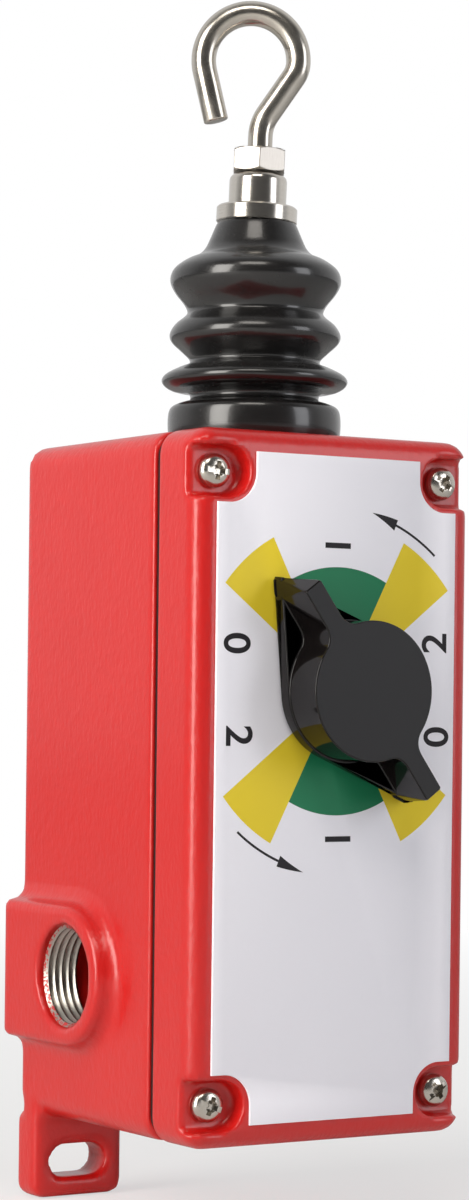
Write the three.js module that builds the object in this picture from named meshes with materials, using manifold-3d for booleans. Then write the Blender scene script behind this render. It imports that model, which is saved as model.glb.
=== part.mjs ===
// A rope pull switch, in millimetres, +Z up.
// The box hangs on a wall by two lugs. Its lid and knob face -Y and the rope hook points up.
// The origin is the middle of the box's flat back, and the lug pads stand a little proud of it.
import * as THREE from 'three';
import { mergeVertices } from 'three/addons/utils/BufferGeometryUtils.js';
import { ConvexGeometry } from 'three/addons/geometries/ConvexGeometry.js';
import Module from 'manifold-3d';

const wasm = await Module();
wasm.setup();

// Box
const boxWidth = 62;
const boxHeight = 132;
const bodyDepth = 50;
const lidDepth = 14.2;
const seamGap = 0.3;
const boxCorner = 4.5;
const wall = 3.5;
const lidWall = 4;
const lidSkin = 3.2;
const lidEdgeRound = 3.2;
const seamEdgeRound = 0.8;
const touchGap = 0.3;

// Wall lugs
const lugWidth = 20;
const lugReach = 16.5;
const lugThickness = 6.5;
const lugStandoff = 1.3;
const lugCorner = 2.5;
const slotLength = 12.7;
const slotHeight = 6.4;
const slotDrop = 9.4;

// Conduit entry on the left side, bored for an M20 thread
const entryDepth = 23.8;
const entryRise = 29;
const entryBossRadius = 13.5;
const entryBossProud = 4.2;
const entryBossInside = 5;
const entryFillet = 2.5;
const entryBoreRadius = 9.95;
const entryMouthRadius = 10.2;

// Lid screws and their side-open recesses
const screwInset = 5.5;
const screwDrop = 8;
const screwHeadRadius = 3.2;
const screwHeadHeight = 2.4;
const screwShankRadius = 1.7;
const screwGrip = 8;
const recessDepth = 3.8;
const recessHalfHeight = 4.7;
const recessInset = 6.9;
const recessWall = 1.6;
const pillarRadius = 4.5;

// Gasket in the body's rim
const gasketWidth = 1.2;
const gasketDepth = 1.2;
const gasketInset = 0.9;

// Label
const labelThickness = 0.5;
const labelMargin = 4.3;
const labelNotchMargin = 1.1;

// Dial, spindle and knob
const dialDrop = 48;
const spindleRadius = 4;
const journalRadius = 3;
const bushRadius = 7;
const bushFlangeRadius = 9.5;
const bushFlange = 1.2;
const sealWire = 0.6;
const knobRadius = 13;
const knobDepth = 11.4;
const knobSkirt = 2.8;
const knobClearance = 0.6;
const knobTip = 25.6;
const knobFinEnd = 23.5;
const knobFinHalf = 2;
const knobFillet = 3.5;
const knobEdge = 0.4;
const knobRestAngle = 36;
const knobTurn = 80;

// Rack, pinion and cams
const toothModule = 1.5;
const pinionTeeth = 12;
const pinionGap = 1.5;
const rackThickness = 4;
const rackTeeth = 7;
const camWidth = 3.6;
const camLow = 8;
const plungerTravel = 2;
const plungerRadius = 1.5;

// Pull rod, guide, boot and hook
const rodDepth = 35;
const rodRadius = 4;
const rodStudRadius = 2.5;
const rodRise = 22;
const shoulderDrop = 3.1;
const guideFlangeRadius = 12;
const guideFlangeHeight = 2.5;
const guideBarrelRadius = 8;
const guideNutFlats = 22;
const guideNutHeight = 4.2;
const bootHeight = 42.6;
const bootWall = 2;
const ferruleRadius = 5.6;
const ferruleHeight = 6.3;
const flangeRadius = 7.85;
const flangeHeight = 3.1;
const nutFlats = 9.8;
const nutHeight = 4.5;
const wireRadius = 2.4;
const loopRadius = 9.2;
const loopAcross = -2.5;
const loopRise = 31.5;
const hookFacing = -32;
const hookLean = 2;

// Return spring
const springRadius = 6.3;
const springWire = 0.8;
const springTurns = 7;
const washerThickness = 1.6;
const stopNutHeight = 4;

// Mechanism bracket, its posts and the contact blocks
const plateThickness = 2;
const plateAboveDial = 17.8;
const plateBelowDial = 24;
const earThickness = 1.2;
const postRadius = 4;
const postInset = 4.5;
const postScrewRadius = 1.9;
const postScrewGrip = 8;
const blockHalfHeight = 16;
const blockStandoff = 4.5;
const terminalRadius = 2;
const terminalPocket = 5;
const plungerBore = 7;
const earthAcross = 15;
const earthRise = 16;
const earthPostHeight = 8;

// Places that follow from the sizes above
const halfWidth = boxWidth / 2;
const halfHeight = boxHeight / 2;
const screwAcross = halfWidth - screwInset;
const screwUp = halfHeight - screwDrop;
const recessCentreAcross = halfWidth - recessInset;
const entryHeight = entryRise - halfHeight;
const dialHeight = halfHeight - dialDrop;
const rodBottom = rodRise - halfHeight;
const plateTop = dialHeight + plateAboveDial;
const plateBottom = dialHeight - plateBelowDial;
const earthHeight = earthRise - halfHeight;
const cavityHalf = halfWidth - wall;
const seamY = -bodyDepth;
const lidBackY = seamY - seamGap;
const lidFrontY = lidBackY - lidDepth;
const lidInsideY = lidFrontY + lidSkin;
const recessFloorY = lidFrontY + recessDepth;
const labelFrontY = lidFrontY - labelThickness;
const knobBackY = labelFrontY - knobClearance;
const knobSkirtY = knobBackY - knobSkirt;
const knobFrontY = knobBackY - knobDepth;
const pitchRadius = toothModule * pinionTeeth / 2;
const turn = THREE.MathUtils.degToRad(knobTurn);
const rodY = -rodDepth;
const plateBackY = rodY - rodRadius - 2 * touchGap;
const plateFrontY = plateBackY - plateThickness;
const pinionBackY = plateFrontY - 1.1;
const shoulderFrontY = lidInsideY + bushFlange + touchGap;
const shoulderBackY = shoulderFrontY + 1;
const frontCamY = shoulderBackY + touchGap;
const backCamY = frontCamY + camWidth + touchGap;
const pinionFrontY = backCamY + camWidth + pinionGap;
const rackRoot = toothModule;
const rackBackX = -pitchRadius - rackRoot - rackThickness;
const blockOuterX = halfWidth - lidWall - touchGap - earThickness;
const blockInnerX = 2 * touchGap - rackBackX;
const blockFrontY = lidInsideY + 1.6;
const blockBackY = plateFrontY - blockStandoff;
const guideBottom = halfHeight - wall - guideNutHeight - 1;
const ferruleBase = halfHeight + bootHeight + touchGap;
const sides = [-1, 1];
const lidScrewPlaces = sides.flatMap((up) => sides.map((across) => [across * screwAcross, up * screwUp]));
const postHeights = [plateBottom + 4.5, plateTop - 5.3];
const postAcross = blockOuterX - postInset;
const postPlaces = postHeights.flatMap((height) => sides.map((across) => [across * postAcross, height]));
const terminalHeights = [-11, -5.5, 5.5, 11];
const blockScrewHeights = [-13.5, 13.5];
const blockScrewRadius = 1.3;
const blockScrewDepth = blockFrontY + 7;

// A welded closed body with its triangles facing out, as booleans need
function weld(geometry) {
  const bare = geometry.clone();
  bare.deleteAttribute('normal');
  bare.deleteAttribute('uv');
  const merged = mergeVertices(bare, 1e-4);
  const spots = merged.getAttribute('position');
  const source = merged.getIndex().array;
  const corners = [];
  for (let i = 0; i < source.length; i += 3) {
    const [a, b, c] = [source[i], source[i + 1], source[i + 2]];
    if (a !== b && b !== c && a !== c) corners.push(a, b, c);
  }
  let volume = 0;
  const [p, q, r] = [new THREE.Vector3(), new THREE.Vector3(), new THREE.Vector3()];
  for (let i = 0; i < corners.length; i += 3) {
    p.fromBufferAttribute(spots, corners[i]);
    q.fromBufferAttribute(spots, corners[i + 1]);
    r.fromBufferAttribute(spots, corners[i + 2]);
    volume += p.dot(q.cross(r));
  }
  if (volume < 0) {
    for (let i = 0; i < corners.length; i += 3) {
      [corners[i], corners[i + 1]] = [corners[i + 1], corners[i]];
    }
  }
  merged.setIndex(corners);
  return merged;
}

function toSolid(geometry) {
  const body = weld(geometry);
  return new wasm.Manifold(new wasm.Mesh({
    numProp: 3,
    vertProperties: new Float32Array(body.getAttribute('position').array),
    triVerts: new Uint32Array(body.getIndex().array),
  }));
}

function fromSolid(solid) {
  const mesh = solid.getMesh();
  const geometry = new THREE.BufferGeometry();
  geometry.setAttribute('position', new THREE.BufferAttribute(new Float32Array(mesh.vertProperties), 3));
  geometry.setIndex(Array.from(mesh.triVerts));
  return geometry;
}

function join(...pieces) {
  return fromSolid(pieces.map(toSolid).reduce((whole, piece) => whole.add(piece)));
}

function cut(body, ...tools) {
  return fromSolid(tools.map(toSolid).reduce((rest, tool) => rest.subtract(tool), toSolid(body)));
}

function common(first, second) {
  return fromSolid(toSolid(first).intersect(toSolid(second)));
}

// A box between two corners, each pair low then high
function block(x, y, z) {
  const geometry = new THREE.BoxGeometry(x[1] - x[0], y[1] - y[0], z[1] - z[0]);
  return geometry.translate((x[0] + x[1]) / 2, (y[0] + y[1]) / 2, (z[0] + z[1]) / 2);
}

// Round bars along each axis; the centre holds the two other coordinates, in x, y, z order
function barX(radius, from, to, centre, facets = 20) {
  const geometry = new THREE.CylinderGeometry(radius, radius, to - from, facets).rotateZ(Math.PI / 2);
  return geometry.translate((from + to) / 2, centre[0], centre[1]);
}

function barY(radius, from, to, centre, facets = 20) {
  const geometry = new THREE.CylinderGeometry(radius, radius, to - from, facets);
  return geometry.translate(centre[0], (from + to) / 2, centre[1]);
}

function barZ(radius, from, to, centre, facets = 24) {
  const geometry = new THREE.CylinderGeometry(radius, radius, to - from, facets).rotateX(Math.PI / 2);
  return geometry.translate(centre[0], centre[1], (from + to) / 2);
}

// A shape drawn as seen from the front, made into a plate from its back face forward
function plate(shape, backY, frontY, round = 0, curve = 5) {
  const geometry = new THREE.ExtrudeGeometry(shape, {
    depth: backY - frontY - 2 * round,
    bevelEnabled: round > 0,
    bevelThickness: round,
    bevelSize: round,
    bevelOffset: -round,
    bevelSegments: round > 1 ? 3 : 1,
    curveSegments: curve,
  });
  return geometry.rotateX(Math.PI / 2).translate(0, backY - round, 0);
}

function roundedRectangle(x, z, radius) {
  const shape = new THREE.Shape();
  const quarter = Math.PI / 2;
  shape.absarc(x[1] - radius, z[0] + radius, radius, -quarter, 0);
  shape.absarc(x[1] - radius, z[1] - radius, radius, 0, quarter);
  shape.absarc(x[0] + radius, z[1] - radius, radius, quarter, 2 * quarter);
  shape.absarc(x[0] + radius, z[0] + radius, radius, 2 * quarter, 3 * quarter);
  return shape;
}

function centredRectangle(half, tall, radius) {
  return roundedRectangle([-half, half], [-tall, tall], radius);
}

// A turned piece: each profile pair is a radius and a height up the Z axis
function turned(profile, facets = 24) {
  const points = profile.map(([radius, height]) => new THREE.Vector2(radius, height));
  return new THREE.LatheGeometry(points, facets).rotateX(Math.PI / 2);
}

// The same on a forward axis, with each height counted towards -Y
function turnedForward(profile, facets = 20) {
  return turned(profile, facets).rotateX(Math.PI / 2);
}

function ring(inner, outer, low, high, facets = 24) {
  return turned([[inner, low], [outer, low], [outer, high], [inner, high], [inner, low]], facets);
}

// A hexagon nut standing on z = 0, with its corners turned off and a plain hole
function hexagonNut(acrossFlats, height, holeRadius) {
  const reach = acrossFlats / Math.sqrt(3);
  const shape = new THREE.Shape();
  for (let corner = 0; corner < 6; corner += 1) {
    const angle = Math.PI * corner / 3;
    const point = [reach * Math.cos(angle), reach * Math.sin(angle)];
    if (corner === 0) shape.moveTo(...point);
    else shape.lineTo(...point);
  }
  const prism = new THREE.ExtrudeGeometry(shape, { depth: height, bevelEnabled: false });
  const trim = (reach - acrossFlats / 2) * 0.9;
  const round = turned([
    [0, 0], [reach - trim, 0], [reach + 0.01, trim * 0.6],
    [reach + 0.01, height - trim * 0.6], [reach - trim, height], [0, height],
  ], 36);
  return cut(common(prism, round), barZ(holeRadius, -1, height + 1, [0, 0], 20));
}

// A pan-head screw on a forward axis: its head stands on y = 0 and its shank runs back
function panScrew(headRadius, headHeight, shankRadius, shankLength, facets = 12) {
  const body = turnedForward([
    [0, -shankLength], [shankRadius, -shankLength], [shankRadius, 0], [headRadius, 0],
    [headRadius, headHeight * 0.45], [headRadius * 0.88, headHeight * 0.78],
    [headRadius * 0.6, headHeight * 0.95], [0, headHeight],
  ], facets);
  const slotHalf = headRadius * 0.16;
  const slotReach = headRadius * 0.5;
  const depth = [-headHeight - 1, -headHeight * 0.45];
  return cut(
    body,
    block([-slotHalf, slotHalf], depth, [-slotReach, slotReach]),
    block([-slotReach, slotReach], depth, [-slotHalf, slotHalf]),
  );
}

// Finishes seen in the photograph, and the usual ones for what is hidden inside
function finish(color, roughness, metalness) {
  return new THREE.MeshStandardMaterial({ color, roughness, metalness });
}

const redPaint = finish(0xd8251c, 0.45, 0);
const whitePlate = finish(0xd9d8e0, 0.45, 0);
const blackPlastic = finish(0x222022, 0.3, 0);
const blackRubber = finish(0x181818, 0.35, 0);
const stainless = finish(0xb7afa4, 0.3, 1);
const zincSteel = finish(0xc0c2c4, 0.35, 1);
const brass = finish(0xc9a24a, 0.35, 1);
const greyPlastic = finish(0x8d9196, 0.5, 0);

const model = new THREE.Group();

function add(name, geometry, material, parent = model) {
  const mesh = new THREE.Mesh(weld(geometry), material);
  mesh.name = name;
  parent.add(mesh);
  return mesh;
}

// One lug: an ear cast on the back corner, with a pad that stands proud and a slot for the wall screw
function lugParts(across, up) {
  const x = [across * (halfWidth - lugWidth), across * halfWidth].sort((a, b) => a - b);
  const far = up * (halfHeight + lugReach);
  const earZ = [up * (halfHeight - boxCorner - 1), far].sort((a, b) => a - b);
  const padZ = [up * (halfHeight - seamEdgeRound), far].sort((a, b) => a - b);
  const ear = plate(roundedRectangle(x, earZ, lugCorner), -seamEdgeRound, -lugThickness, seamEdgeRound, 3);
  const pad = plate(roundedRectangle(x, padZ, lugCorner), lugStandoff, -lugThickness, seamEdgeRound, 3);
  const slot = centredRectangle(slotLength / 2, slotHeight / 2, slotHeight / 2 - 0.01);
  const slotCut = plate(slot, lugStandoff + 1, -lugThickness - 1);
  slotCut.translate((x[0] + x[1]) / 2, 0, up * (halfHeight + slotDrop));
  return { ear: join(ear, pad), slotCut };
}

// A slice of the conduit boss, flat at the box's back and half round at its front. It runs left from
// insideX to outsideX, is wider by spread, and both its rims are cut back by the chamfer's depth and size.
function bossSlice(insideX, outsideX, spread, chamferDepth, chamferSize) {
  const shape = new THREE.Shape();
  shape.moveTo(0, -entryBossRadius);
  shape.lineTo(entryDepth, -entryBossRadius);
  shape.absarc(entryDepth, 0, entryBossRadius, -Math.PI / 2, Math.PI / 2);
  shape.lineTo(0, entryBossRadius);
  const slice = new THREE.ExtrudeGeometry(shape, {
    depth: insideX - outsideX - 2 * chamferDepth,
    bevelThickness: chamferDepth,
    bevelSize: chamferSize,
    bevelOffset: spread - chamferSize,
    bevelSegments: 1,
    curveSegments: 10,
  });
  // What is drawn right runs forward, what is drawn up stays up, and the depth runs out to the left
  slice.applyMatrix4(new THREE.Matrix4().makeBasis(
    new THREE.Vector3(0, -1, 0),
    new THREE.Vector3(0, 0, 1),
    new THREE.Vector3(-1, 0, 0),
  ));
  return slice.translate(insideX - chamferDepth, 0, entryHeight);
}

// The boss and the hollow fillet round its foot, in three chamfered slices
function entryBoss() {
  const insideX = -cavityHalf + entryBossInside;
  const boss = bossSlice(insideX, -halfWidth - entryBossProud, 0, seamEdgeRound, seamEdgeRound);
  const corners = [0, 30, 60, 90].map((degrees) => {
    const angle = THREE.MathUtils.degToRad(degrees);
    return { out: entryFillet * (1 - Math.cos(angle)), wide: entryFillet * (1 - Math.sin(angle)) };
  });
  const foot = corners.slice(1).map((corner, index) => {
    const before = corners[index];
    const depth = corner.out - before.out;
    const buriedX = -halfWidth - before.out + depth + touchGap;
    return bossSlice(buriedX, -halfWidth - corner.out, before.wide, depth, before.wide - corner.wide);
  });
  const reach = entryDepth + entryBossRadius + entryFillet + 1;
  const span = [-halfWidth - entryBossProud - 1, insideX + 1];
  const inFront = block(span, [-reach, 0], [-halfHeight, dialHeight]);
  return common(join(boss, ...foot), inFront);
}

function entryBore() {
  const insideX = -cavityHalf + entryBossInside;
  const outsideX = -halfWidth - entryBossProud;
  const chamfer = entryMouthRadius - entryBoreRadius;
  const bore = turned([
    [0, outsideX - 1], [entryMouthRadius + 1, outsideX - 1], [entryMouthRadius, outsideX],
    [entryBoreRadius, outsideX + chamfer], [entryBoreRadius, insideX + 1], [0, insideX + 1],
  ], 32);
  return bore.rotateY(Math.PI / 2).translate(0, -entryDepth, entryHeight);
}

// The gasket's ring, and the wider and deeper groove that holds it
function rimRing(inset, width, backY, frontY) {
  const outer = centredRectangle(halfWidth - inset, halfHeight - inset, boxCorner - inset);
  const innerInset = inset + width;
  const hole = centredRectangle(halfWidth - innerInset, halfHeight - innerInset, boxCorner - innerInset);
  outer.holes.push(hole);
  return plate(outer, backY, frontY, 0, 4);
}

function housing() {
  const shell = plate(centredRectangle(halfWidth, halfHeight, boxCorner), 0, seamY, seamEdgeRound);
  const inside = centredRectangle(cavityHalf, halfHeight - wall, boxCorner - 2);
  const hollow = cut(shell, plate(inside, -wall, seamY - 1, 0, 2));
  const lugs = [lugParts(-1, -1), lugParts(1, 1)];
  const pillars = lidScrewPlaces.map((at) => barY(pillarRadius, seamY, -wall + 1, at, 16));
  const posts = postPlaces.map((at) => barY(postRadius, plateBackY, -wall + 1, at, 12));
  const earthPost = barY(postRadius, -wall - earthPostHeight, -wall + 1, [earthAcross, earthHeight], 12);
  const cast = join(hollow, entryBoss(), ...lugs.map((lug) => lug.ear), ...pillars, ...posts, earthPost);
  const pillarHole = screwShankRadius + touchGap;
  const postHole = postScrewRadius + touchGap;
  return cut(
    cast,
    ...lugs.map((lug) => lug.slotCut),
    entryBore(),
    barZ(guideBarrelRadius + touchGap, halfHeight - wall - 2, halfHeight + 1, [0, rodY], 32),
    rimRing(gasketInset - touchGap, gasketWidth + 2 * touchGap, seamY + gasketDepth, seamY - 1),
    ...lidScrewPlaces.map((at) => barY(pillarHole, seamY - 1, seamY + screwGrip + 1, at, 10)),
    ...postPlaces.map((at) => barY(postHole, plateBackY - 1, plateBackY + postScrewGrip + 1, at, 10)),
    barY(postHole, -wall - earthPostHeight - 1, -wall - 1, [earthAcross, earthHeight], 10),
  );
}

// A lid screw's recess: a slot with a round inner end that opens through the lid's side
function recessCut(across, up) {
  const shape = new THREE.Shape();
  const reach = halfWidth - recessCentreAcross + 2;
  shape.absarc(0, 0, recessHalfHeight, Math.PI / 2, 1.5 * Math.PI);
  shape.lineTo(reach, -recessHalfHeight);
  shape.lineTo(reach, recessHalfHeight);
  const slot = plate(shape, recessFloorY, lidFrontY - 1, 0, 12);
  if (across < 0) slot.rotateY(Math.PI);
  return slot.translate(across * recessCentreAcross, 0, up * screwUp);
}

function lid() {
  const outline = centredRectangle(halfWidth, halfHeight, boxCorner);
  const rounded = plate(outline, lidBackY + 2 * lidEdgeRound, lidFrontY, lidEdgeRound);
  const edged = plate(outline, lidBackY, lidFrontY - 5, seamEdgeRound);
  const skin = common(rounded, edged);
  const hollowHalf = halfWidth - lidWall;
  const hollowTall = halfHeight - lidWall;
  const cornerAcross = recessCentreAcross - recessHalfHeight - recessWall;
  const cornerUp = screwUp - pillarRadius - 1;
  const hollowZone = [lidInsideY, lidBackY + 1];
  const holes = lidScrewPlaces.map(
    (at) => barY(screwShankRadius + touchGap, lidFrontY, lidBackY + 1, at, 12),
  );
  return cut(
    skin,
    block([-hollowHalf, hollowHalf], hollowZone, [-cornerUp, cornerUp]),
    block([-cornerAcross, cornerAcross], hollowZone, [-hollowTall, hollowTall]),
    barY(bushRadius + touchGap, lidFrontY - 1, lidInsideY + 1, [0, dialHeight], 28),
    ...lidScrewPlaces.map(([x, z]) => recessCut(Math.sign(x), Math.sign(z))),
    ...holes,
  );
}

// The label covers the lid's flat front and curves round each screw recess
function frontLabel() {
  const half = halfWidth - labelMargin;
  const tall = halfHeight - labelMargin;
  const notch = recessHalfHeight + labelNotchMargin;
  const shape = new THREE.Shape();
  const quarter = Math.PI / 2;
  const notchLow = screwUp - notch;
  const notchIn = recessCentreAcross - notch;
  shape.moveTo(half, -notchLow);
  shape.lineTo(half, notchLow);
  shape.absarc(recessCentreAcross, screwUp, notch, -quarter, -2 * quarter, true);
  shape.lineTo(notchIn, tall);
  shape.lineTo(-notchIn, tall);
  shape.absarc(-recessCentreAcross, screwUp, notch, 0, -quarter, true);
  shape.lineTo(-half, notchLow);
  shape.lineTo(-half, -notchLow);
  shape.absarc(-recessCentreAcross, -screwUp, notch, quarter, 0, true);
  shape.lineTo(-notchIn, -tall);
  shape.lineTo(notchIn, -tall);
  shape.absarc(recessCentreAcross, -screwUp, notch, 2 * quarter, quarter, true);
  const hole = new THREE.Path();
  hole.absarc(0, dialHeight, bushRadius + touchGap, 0, 4 * quarter);
  shape.holes.push(hole);
  return plate(shape, lidFrontY, labelFrontY, 0, 10);
}

// The lid's bush: its flange bears on the lid's inside and its barrel passes the label
function spindleBush() {
  const inside = -lidInsideY;
  const hole = spindleRadius + touchGap;
  return turnedForward([
    [hole, inside - bushFlange], [bushFlangeRadius, inside - bushFlange], [bushFlangeRadius, inside],
    [bushRadius, inside], [bushRadius, -labelFrontY], [hole, -labelFrontY], [hole, inside - bushFlange],
  ]).translate(0, 0, dialHeight);
}

const sealDepth = -lidInsideY + 1.6;
const sealCentre = spindleRadius - sealWire + 0.1;

// The spindle: a journal in the bracket, seats for pinion and cams, a shoulder and a seal groove
function spindle() {
  const grooveFloor = sealCentre - sealWire - touchGap;
  const grooveHalf = sealWire + touchGap;
  return turnedForward([
    [0, -plateBackY + touchGap], [journalRadius, -plateBackY + touchGap],
    [journalRadius, -plateFrontY + touchGap], [spindleRadius, -plateFrontY + touchGap],
    [spindleRadius, -shoulderBackY], [spindleRadius + 2, -shoulderBackY],
    [spindleRadius + 2, -shoulderFrontY], [spindleRadius, -shoulderFrontY],
    [spindleRadius, sealDepth - grooveHalf], [grooveFloor, sealDepth - grooveHalf],
    [grooveFloor, sealDepth + grooveHalf], [spindleRadius, sealDepth + grooveHalf],
    [spindleRadius, -knobFrontY - 3], [0, -knobFrontY - 3],
  ]).translate(0, 0, dialHeight);
}

function spindleSeal() {
  const seal = new THREE.TorusGeometry(sealCentre, sealWire, 6, 20).rotateX(Math.PI / 2);
  return seal.translate(0, -sealDepth, dialHeight);
}

// Knob: a skirt with two pointed ends, a round grip, two fins and a sloped nose at each fin's end
function knob() {
  const skirtShape = new THREE.Shape();
  const tangent = Math.asin(knobRadius / knobTip);
  skirtShape.absarc(0, 0, knobRadius, -tangent, tangent);
  skirtShape.lineTo(0, knobTip);
  skirtShape.absarc(0, 0, knobRadius, Math.PI - tangent, Math.PI + tangent);
  skirtShape.lineTo(0, -knobTip);
  const skirt = plate(skirtShape, knobBackY, knobSkirtY - 0.01, 0, 10);

  const filletAcross = knobFinHalf + knobFillet;
  const filletUp = Math.sqrt((knobRadius + knobFillet) ** 2 - filletAcross ** 2);
  const filletAngle = Math.atan2(filletUp, filletAcross);
  const grip = new THREE.Shape();
  grip.absarc(0, 0, knobRadius, -filletAngle, filletAngle);
  grip.absarc(filletAcross, filletUp, knobFillet, filletAngle + Math.PI, Math.PI, true);
  grip.lineTo(knobFinHalf, knobFinEnd);
  grip.lineTo(-knobFinHalf, knobFinEnd);
  grip.absarc(-filletAcross, filletUp, knobFillet, 0, -filletAngle, true);
  grip.absarc(0, 0, knobRadius, Math.PI - filletAngle, Math.PI + filletAngle);
  grip.absarc(-filletAcross, -filletUp, knobFillet, filletAngle, 0, true);
  grip.lineTo(-knobFinHalf, -knobFinEnd);
  grip.lineTo(knobFinHalf, -knobFinEnd);
  grip.absarc(filletAcross, -filletUp, knobFillet, Math.PI, Math.PI - filletAngle, true);
  const body = plate(grip, knobSkirtY + 2 * knobEdge, knobFrontY, knobEdge, 7);

  const noseStart = knobTip - knobFinHalf / Math.tan(tangent);
  const noses = sides.map((up) => new ConvexGeometry([
    ...sides.flatMap((side) => [
      new THREE.Vector3(side * knobFinHalf, knobBackY, up * (noseStart - 1)),
      new THREE.Vector3(side * knobFinHalf, knobBackY, up * noseStart),
      new THREE.Vector3(side * (knobFinHalf - knobEdge), knobFrontY, up * (noseStart - 1)),
      new THREE.Vector3(side * (knobFinHalf - knobEdge), knobFrontY, up * (knobFinEnd - knobEdge)),
      new THREE.Vector3(side * knobFinHalf, knobFrontY + knobEdge, up * (noseStart - 1)),
      new THREE.Vector3(side * knobFinHalf, knobFrontY + knobEdge, up * knobFinEnd),
    ]),
    new THREE.Vector3(0, knobBackY, up * knobTip),
  ]));
  const trimmed = cut(
    body,
    ...sides.map((up) => {
      const z = [up * (noseStart - 0.5), up * (knobFinEnd + 2)].sort((a, b) => a - b);
      return block([-knobFinHalf - 1, knobFinHalf + 1], [knobFrontY - 1, knobSkirtY + 2], z);
    }),
  );
  const bore = barY(spindleRadius + touchGap, -(-knobFrontY - 3) - touchGap, knobBackY + 1, [0, 0], 24);
  const whole = cut(join(skirt, trimmed, ...noses), bore);
  return whole.rotateY(THREE.MathUtils.degToRad(-knobRestAngle)).translate(0, 0, dialHeight);
}

// Pinion with involute flanks that meet a straight-sided rack of 20 degrees
const pressureAngle = THREE.MathUtils.degToRad(20);
const toothPitch = Math.PI * toothModule;
const flankPlay = 0.18;
const pinionTipRadius = pitchRadius + 0.75 * toothModule;
const pinionRootRadius = pitchRadius - 1.1 * toothModule;
const rackTip = 0.65 * toothModule;

function pinion() {
  const baseRadius = pitchRadius * Math.cos(pressureAngle);
  const involute = (radius) => {
    const angle = Math.acos(Math.min(1, baseRadius / radius));
    return Math.tan(angle) - angle;
  };
  const halfTooth = (toothPitch / 2 - flankPlay) / (2 * pitchRadius) + involute(pitchRadius);
  const radii = [baseRadius, pitchRadius, pinionTipRadius];
  const shape = new THREE.Shape();
  const step = 2 * Math.PI / pinionTeeth;
  const outline = [];
  for (let tooth = 0; tooth < pinionTeeth; tooth += 1) {
    // A gap faces the rack at -X, so each tooth stands half a step from there
    const middle = Math.PI + (tooth + 0.5) * step;
    outline.push([pinionRootRadius, middle - halfTooth]);
    radii.forEach((radius) => outline.push([radius, middle - halfTooth + involute(radius)]));
    [...radii].reverse().forEach((radius) => outline.push([radius, middle + halfTooth - involute(radius)]));
    outline.push([pinionRootRadius, middle + halfTooth]);
  }
  outline.forEach(([radius, angle], index) => {
    const point = [radius * Math.cos(angle), radius * Math.sin(angle)];
    if (index === 0) shape.moveTo(...point);
    else shape.lineTo(...point);
  });
  const hole = new THREE.Path();
  hole.absarc(0, 0, spindleRadius + touchGap, 0, 2 * Math.PI);
  shape.holes.push(hole);
  return plate(shape, pinionBackY, pinionFrontY, 0, 10).translate(0, 0, dialHeight);
}

// Rack: a toothed bar beside the pinion that hangs from an arm clamped round the rod
const rackPitchX = -pitchRadius;
const rackRootX = rackPitchX - rackRoot;
const armBottom = plateTop + 0.5;
const armTop = armBottom + 7.7;
const armHalf = 6;

function rack() {
  const shape = new THREE.Shape();
  const lean = Math.tan(pressureAngle);
  const halfAtPitch = (toothPitch / 2 - flankPlay) / 2;
  const lowest = -4;
  const low = dialHeight + (lowest - 0.75) * toothPitch;
  shape.moveTo(rackBackX, low);
  shape.lineTo(rackRootX, low);
  for (let tooth = 0; tooth < rackTeeth; tooth += 1) {
    const middle = dialHeight + (lowest + tooth) * toothPitch;
    const rootHalf = halfAtPitch + rackRoot * lean;
    const tipHalf = halfAtPitch - rackTip * lean;
    shape.lineTo(rackRootX, middle - rootHalf);
    shape.lineTo(rackPitchX + rackTip, middle - tipHalf);
    shape.lineTo(rackPitchX + rackTip, middle + tipHalf);
    shape.lineTo(rackRootX, middle + rootHalf);
  }
  shape.lineTo(rackRootX, armTop);
  shape.lineTo(rackBackX, armTop);
  const bar = plate(shape, pinionBackY, pinionFrontY);
  const arm = block([rackBackX, armHalf], [pinionFrontY, rodY + armHalf], [armBottom, armTop]);
  return cut(
    join(bar, arm),
    barZ(rodRadius + touchGap, armBottom - 1, armTop + 1, [0, rodY]),
    rackPinBar(rackPinRadius + touchGap, 1),
  );
}

const rackPinRadius = 1.5;

function rackPinBar(radius, extra) {
  const middle = (armBottom + armTop) / 2;
  return barY(radius, pinionFrontY - extra, rodY + armHalf + extra, [0, middle], 12);
}

// Archimedean cams: the radius changes evenly with the angle, so the plunger moves evenly
function cam(backY, frontY, contactAngle, growing) {
  const margin = THREE.MathUtils.degToRad(8);
  const steps = 12;
  const shape = new THREE.Shape();
  const sector = turn + 2 * margin;
  const slope = plungerTravel / turn;
  const start = contactAngle - margin;
  const low = camLow - slope * margin;
  const high = camLow + plungerTravel + slope * margin;
  const radiusAt = (share) => (growing ? low + (high - low) * share : high - (high - low) * share);
  const points = [];
  for (let i = 0; i <= steps; i += 1) {
    points.push([radiusAt(i / steps), start + sector * i / steps]);
  }
  const rest = 2 * Math.PI - sector;
  for (let i = 1; i < 2 * steps; i += 1) {
    const share = (1 + Math.cos(Math.PI * i / (2 * steps))) / 2;
    points.push([radiusAt(share), start + sector + rest * i / (2 * steps)]);
  }
  points.forEach(([radius, angle], index) => {
    const point = [radius * Math.cos(angle), radius * Math.sin(angle)];
    if (index === 0) shape.moveTo(...point);
    else shape.lineTo(...point);
  });
  const hole = new THREE.Path();
  hole.absarc(0, 0, spindleRadius + touchGap, 0, 2 * Math.PI);
  shape.holes.push(hole);
  return plate(shape, backY, frontY, 0, 10).translate(0, 0, dialHeight);
}

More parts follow.
